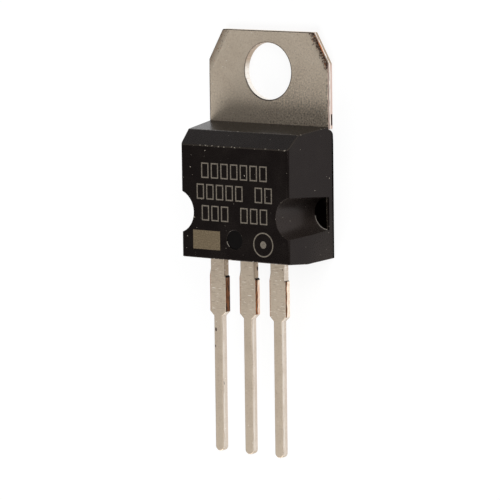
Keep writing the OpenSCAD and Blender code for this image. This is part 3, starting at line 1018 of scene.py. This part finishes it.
class REGULATOR_OT_marks(bpy.types.Operator):
    """Burns plain cells, a ring with a dot and a filled field into the front face"""
    bl_idname = "regulator.marks"
    bl_label = "Laser Marks"

    def execute(self, context):
        scene = context.scene
        sizes, colours = scene.regulator_marks, scene.regulator_finishes
        steps = 2 * scene.regulator_stage.samples
        top = BODY_HIGH.z + sizes.relief
        bm = bmesh.new()
        # How many cells stand together in each of the three rows
        for number, groups in enumerate(((7,), (5, 2), (3, 3))):
            count = sum(groups) + len(groups) - 1
            x = -(count - 1) / 2 * sizes.cell_pitch
            y = sizes.first_row - number * sizes.row_pitch
            for group in groups:
                for _ in range(group):
                    cell = rectangle(bm, x, y, sizes.cell_width, sizes.cell_height, top)
                    bmesh.ops.inset_individual(bm, faces=[cell], thickness=sizes.stroke,
                                               use_even_offset=True)
                    bmesh.ops.delete(bm, geom=[cell], context="FACES")
                    x += sizes.cell_pitch
                x += sizes.cell_pitch
        centre = Matrix.Translation((sizes.ring_x, sizes.ring_y, top))
        rims = []
        for radius in (sizes.ring / 2, sizes.ring / 2 - sizes.stroke):
            made = bmesh.ops.create_circle(bm, segments=steps, radius=radius, matrix=centre)
            rims += {e for v in made["verts"] for e in v.link_edges}
        bmesh.ops.bridge_loops(bm, edges=rims)
        bmesh.ops.create_circle(bm, segments=steps // 2, radius=sizes.dot / 2, matrix=centre,
                                cap_ends=True)
        field = rectangle(bm, sizes.field_x, sizes.field_y, sizes.field_width, sizes.field_height,
                          top)
        field.material_index = 1
        bmesh.ops.recalc_face_normals(bm, faces=bm.faces)
        extrude(bm, bm.faces[:], (0, 0, -2 * sizes.relief), keep=True)
        materials = [laser_burn("laser_mark", colours.mark),
                     laser_burn("laser_field", colours.field)]
        finish_mesh(bm, "laser_marks", materials, slot="epoxy_moulding")
        return {"FINISHED"}


class REGULATOR_OT_inner_parts(bpy.types.Operator):
    """Finishes the chip, its solder and the bond wires inside the body"""
    bl_idname = "regulator.inner_parts"
    bl_label = "Chip and Bond Wires"

    def execute(self, context):
        colours = context.scene.regulator_finishes
        # Sawn silicon is a dark mirror, soft solder a dull white, drawn wire a bright grey
        finishes = {
            "die": inner_metal("sawn_silicon", colours.silicon, 0.25, 0.3),
            "die_solder": inner_metal("soft_solder", colours.solder, 0.5, 0.1),
            "left_bond_wire": inner_metal("drawn_wire", colours.aluminium, 0.3, 0.08),
            "right_bond_wire": inner_metal("drawn_wire", colours.aluminium, 0.3, 0.08),
        }
        for name, material in finishes.items():
            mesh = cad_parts[name].data
            mesh.materials.clear()
            mesh.materials.append(material)
        return {"FINISHED"}


def add_lamp(name, direction, stage, power):
    """A square soft lamp that points at the part from a direction"""
    data = bpy.data.lights.new(name, "AREA")
    data.size = stage.lamp_width
    data.energy = power
    lamp = bpy.data.objects.new(name, data)
    bpy.context.scene.collection.objects.link(lamp)
    way = Vector(direction).normalized()
    centre = (BODY_LOW + BODY_HIGH) / 2
    lamp.location = centre + way * stage.lamp_distance
    lamp.rotation_euler = way.to_track_quat("Z", "Y").to_euler()


class REGULATOR_OT_stage(bpy.types.Operator):
    """Sets up the camera, the soft light and the pale floor"""
    bl_idname = "regulator.stage"
    bl_label = "Stage"

    def execute(self, context):
        scene = context.scene
        stage = scene.regulator_stage
        flat = math.cos(stage.rise)
        back = Vector((math.sin(stage.yaw) * flat, math.sin(stage.rise),
                       math.cos(stage.yaw) * flat))
        level_up = (Vector((0, 1, 0)) - back * back.y).normalized()
        level_right = level_up.cross(back)
        up = level_up * math.cos(stage.roll) + level_right * math.sin(stage.roll)
        turn = Matrix((up.cross(back), up, back)).transposed().to_4x4()
        aim = Vector((stage.aim_x, stage.aim_y, stage.aim_z))
        data = bpy.data.cameras.new("camera")
        data.lens = stage.lens
        data.sensor_width = 36
        data.clip_start = 0.01
        camera = bpy.data.objects.new("camera", data)
        scene.collection.objects.link(camera)
        camera.matrix_world = Matrix.Translation(aim + back * stage.distance) @ turn
        scene.camera = camera

        bm = bmesh.new()
        bmesh.ops.create_grid(bm, x_segments=1, y_segments=1, size=stage.floor_size / 2,
                              matrix=Matrix.Translation((0, 0, -0.01 * MM)))
        floor = finish_mesh(bm, "floor", [self.floor_paint(stage)])

        world = bpy.data.worlds.new("studio")
        world.use_nodes = True
        world.node_tree.nodes.clear()
        air = node(world.node_tree, "ShaderNodeBackground", {
            "Color": (1, 1, 1), "Strength": stage.surround})
        node(world.node_tree, "ShaderNodeOutputWorld", {"Surface": air})
        scene.world = world
        add_lamp("key", stage.key_way, stage, stage.key)
        add_lamp("fill", stage.fill_way, stage, stage.fill)
        scene.view_settings.view_transform = "Standard"
        return {"FINISHED"}

    def floor_paint(self, stage):
        """Matt white paint that the camera and reflections see lifted to white, and that keeps
        the part's shadow"""
        material, tree, _, _ = start_material("floor_paint")
        rays = node(tree, "ShaderNodeLightPath").outputs
        seen = 0.0
        for ray in ("Is Camera Ray", "Is Glossy Ray", "Is Transmission Ray"):
            seen = node(tree, "ShaderNodeMath", {0: rays[ray], 1: stage.floor_glow, 2: seen},
                        operation="MULTIPLY_ADD")
        paint = node(tree, "ShaderNodeBsdfDiffuse", {"Color": stage.floor})
        glow = node(tree, "ShaderNodeEmission", {"Strength": seen})
        both = node(tree, "ShaderNodeAddShader", {0: paint, 1: glow})
        node(tree, "ShaderNodeOutputMaterial", {"Surface": both})
        return material


class REGULATOR_PT_sidebar(bpy.types.Panel):
    """Lists the steps and the settings"""
    bl_idname = "REGULATOR_PT_sidebar"
    bl_label = "Voltage Regulator"
    bl_space_type = "VIEW_3D"
    bl_region_type = "UI"
    bl_category = "Regulator"

    def draw(self, context):
        for step in STEPS:
            self.layout.operator(step.bl_idname)
        for name in GROUPS:
            settings = getattr(context.scene, name)
            box = self.layout.box()
            box.label(text=settings.bl_rna.name)
            for prop in settings.bl_rna.properties:
                if prop.identifier not in {"rna_type", "name"}:
                    box.prop(settings, prop.identifier)


GROUPS = {
    "regulator_strip": StripSizes,
    "regulator_leads": LeadSizes,
    "regulator_body": BodySizes,
    "regulator_marks": MarkSizes,
    "regulator_finishes": Finishes,
    "regulator_stage": StageSettings,
}
STEPS = (REGULATOR_OT_heat_sink, REGULATOR_OT_outer_leads, REGULATOR_OT_body,
         REGULATOR_OT_marks, REGULATOR_OT_inner_parts, REGULATOR_OT_stage)


def register():
    for cls in (*GROUPS.values(), *STEPS, REGULATOR_PT_sidebar):
        bpy.utils.register_class(cls)
    for name, group in GROUPS.items():
        setattr(bpy.types.Scene, name, PointerProperty(type=group))


def unregister():
    for name in GROUPS:
        delattr(bpy.types.Scene, name)
    for cls in reversed((*GROUPS.values(), *STEPS, REGULATOR_PT_sidebar)):
        bpy.utils.unregister_class(cls)


def main():
    register()
    bpy.ops.regulator.heat_sink()
    bpy.ops.regulator.outer_leads()
    bpy.ops.regulator.body()
    bpy.ops.regulator.marks()
    bpy.ops.regulator.inner_parts()
    bpy.ops.regulator.stage()


if __name__ == "__main__":
    main()
